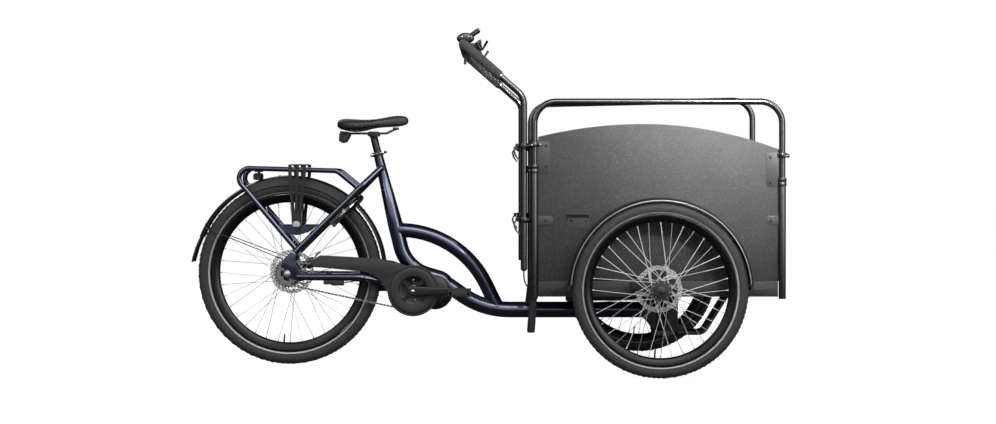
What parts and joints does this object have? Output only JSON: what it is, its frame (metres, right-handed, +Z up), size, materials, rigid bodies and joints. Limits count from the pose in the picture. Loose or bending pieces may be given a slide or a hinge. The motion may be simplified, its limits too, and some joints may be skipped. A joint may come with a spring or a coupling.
{
  "type": "cargo tricycle",
  "caption": "Electric cargo tricycle with a steered front box on side wheels, a long low frame tube, a pedal motor, a rear rack, a ring lock and a tall bent handlebar.",
  "frame": {"origin": "ground level below the middle of the whole tricycle", "axes": "+X forwards along the length, +Y to the rider's left, +Z up"},
  "size_m": [2.1174, 0.8992, 1.2144],
  "materials": {
    "black_paint": "satin black paint",
    "black_rim": "black anodised, satin",
    "coated_board": "dark grey coated board with a fine speckle",
    "gloss_black_plastic": "gloss black",
    "matte_black_plastic": "matte black",
    "navy_paint": "metallic navy paint with a satin shine",
    "saddle_cover": "black saddle cover, soft sheen",
    "soft_rubber": "matte black rubber and foam",
    "steel": "bright steel",
    "tyre_rubber": "black tyre with a reflective line on each side"
  },
  "bodies": {
    "frame": {"main_tube": "navy_paint", "arch_tube": "navy_paint", "seat_stays": "navy_paint", "chain_stays": "navy_paint", "rear_axle": "steel", "rack_frame": "navy_paint", "rack_straps": "soft_rubber", "rear_light": "gloss_black_plastic", "rear_mudguard": "matte_black_plastic", "ring_lock": "matte_black_plastic", "motor": "matte_black_plastic", "chaincase": "matte_black_plastic", "chain": "steel", "rear_caliper": "gloss_black_plastic", "seat_collar": "black_paint"},
    "lock_shackle": {"lock_shackle": "steel"},
    "seat_lever": {"seat_lever": "steel"},
    "saddle": {"seat_post": "steel", "saddle_rails": "matte_black_plastic", "saddle": "saddle_cover"},
    "crank": {"crank_arms": "black_paint", "chainring": "black_paint"},
    "pedal_right": {"pedal_right": "matte_black_plastic"},
    "pedal_left": {"pedal_left": "matte_black_plastic"},
    "sprocket": {"rear_sprocket": "steel"},
    "rear_wheel": {"rear_tyre": "tyre_rubber", "rear_rim": "black_rim", "rear_hub": "steel"},
    "front": {"chassis": "black_paint", "sill_frame": "black_paint", "floor_board": "coated_board", "rear_board": "coated_board", "front_board": "coated_board", "side_board_right": "coated_board", "side_board_left": "coated_board", "rear_post_right": "black_paint", "rear_post_left": "black_paint", "front_post_right": "black_paint", "front_post_left": "black_paint", "front_mudguard_right": "matte_black_plastic", "front_mudguard_left": "matte_black_plastic", "brake_hose": "soft_rubber"},
    "hoop_right": {"hoop_right": "black_paint"},
    "hoop_left": {"hoop_left": "black_paint"},
    "handlebar": {"handlebar": "black_paint", "grip_right": "soft_rubber", "grip_left": "soft_rubber"},
    "brake_lever_right": {"brake_lever_right": "gloss_black_plastic"},
    "brake_lever_left": {"brake_lever_left": "gloss_black_plastic"},
    "front_right_wheel": {"front_right_tyre": "tyre_rubber", "front_right_rim": "black_rim", "front_right_hub": "steel"},
    "front_left_wheel": {"front_left_tyre": "tyre_rubber", "front_left_rim": "black_rim", "front_left_hub": "steel"},
    "upper_clamp_lever_right": {"upper_clamp_lever_right": "steel"},
    "upper_clamp_lever_left": {"upper_clamp_lever_left": "steel"},
    "lower_clamp_lever_right": {"lower_clamp_lever_right": "steel"},
    "lower_clamp_lever_left": {"lower_clamp_lever_left": "steel"}
  },
  "joints": [
    {"name": "steering", "type": "hinge", "parent": "frame", "child": "front", "pos_m": [0.65, 0, 0.199], "axis": [0, 0, 1], "range_deg": [-27, 27]},
    {"name": "rear_wheel_spin", "type": "hinge", "parent": "frame", "child": "rear_wheel", "pos_m": [-0.7, 0, 0.3345], "axis": [0, 1, 0], "continuous": true},
    {"name": "front_right_wheel_spin", "type": "hinge", "parent": "front", "child": "front_right_wheel", "pos_m": [0.609, -0.398, 0.3], "axis": [0, 1, 0], "continuous": true},
    {"name": "front_left_wheel_spin", "type": "hinge", "parent": "front", "child": "front_left_wheel", "pos_m": [0.609, 0.398, 0.3], "axis": [0, 1, 0], "continuous": true},
    {"name": "crank_spin", "type": "hinge", "parent": "frame", "child": "crank", "pos_m": [-0.24825, 0, 0.272], "axis": [0, 1, 0], "continuous": true},
    {"name": "sprocket_spin", "type": "hinge", "parent": "frame", "child": "sprocket", "pos_m": [-0.7, 0, 0.3345], "axis": [0, 1, 0], "continuous": true},
    {"name": "pedal_right_spin", "type": "hinge", "parent": "crank", "child": "pedal_right", "pos_m": [-0.07825, 0, 0.272], "axis": [0, 1, 0], "continuous": true},
    {"name": "pedal_left_spin", "type": "hinge", "parent": "crank", "child": "pedal_left", "pos_m": [-0.41825, 0, 0.272], "axis": [0, 1, 0], "continuous": true},
    {"name": "saddle_height", "type": "slide", "parent": "frame", "child": "saddle", "axis": [-0.2385, 0, 0.9711], "range_m": [-0.03, 0.08]},
    {"name": "seat_lever_turn", "type": "hinge", "parent": "frame", "child": "seat_lever", "pos_m": [-0.35993, -0.0255, 0.77149], "axis": [0.2385, 0, -0.9711], "range_deg": [0, 115]},
    {"name": "lock_shackle_turn", "type": "hinge", "parent": "frame", "child": "lock_shackle", "pos_m": [-0.49061, 0, 0.55964], "axis": [-0.705, 0, 0.7092], "range_deg": [0, 84], "stiffness_Nm_per_rad": 0.2, "springref_deg": -34.38},
    {"name": "hoop_right_height", "type": "slide", "parent": "front", "child": "hoop_right", "axis": [0, 0, 1], "range_m": [-0.03, 0.05]},
    {"name": "hoop_left_height", "type": "slide", "parent": "front", "child": "hoop_left", "axis": [0, 0, 1], "range_m": [-0.057, 0.023]},
    {"name": "handlebar_height", "type": "slide", "parent": "front", "child": "handlebar", "axis": [0, 0, 1], "range_m": [-0.05, 0.06], "deforming": ["brake_hose"]},
    {"name": "brake_lever_right_pull", "type": "hinge", "parent": "handlebar", "child": "brake_lever_right", "pos_m": [-0.015, -0.12, 1.155], "axis": [0, 0, -1], "range_deg": [0, 18], "stiffness_Nm_per_rad": 3, "springref_deg": -11.46},
    {"name": "brake_lever_left_pull", "type": "hinge", "parent": "handlebar", "child": "brake_lever_left", "pos_m": [-0.015, 0.12, 1.155], "axis": [0, 0, 1], "range_deg": [0, 18], "stiffness_Nm_per_rad": 3, "springref_deg": -11.46},
    {"name": "upper_clamp_lever_right_turn", "type": "hinge", "parent": "front", "child": "upper_clamp_lever_right", "pos_m": [0.124, -0.2965, 0.792], "axis": [0, 1, 0], "range_deg": [0, 100]},
    {"name": "upper_clamp_lever_left_turn", "type": "hinge", "parent": "front", "child": "upper_clamp_lever_left", "pos_m": [0.124, 0.2965, 0.792], "axis": [0, 1, 0], "range_deg": [0, 100]},
    {"name": "lower_clamp_lever_right_turn", "type": "hinge", "parent": "front", "child": "lower_clamp_lever_right", "pos_m": [0.124, -0.2965, 0.537], "axis": [0, 1, 0], "range_deg": [0, 100]},
    {"name": "lower_clamp_lever_left_turn", "type": "hinge", "parent": "front", "child": "lower_clamp_lever_left", "pos_m": [0.124, 0.2965, 0.537], "axis": [0, 1, 0], "range_deg": [0, 100]}
  ],
  "couplings": [
    {"joint": "sprocket_spin", "follows": "crank_spin", "ratio": 1.8}
  ]
}
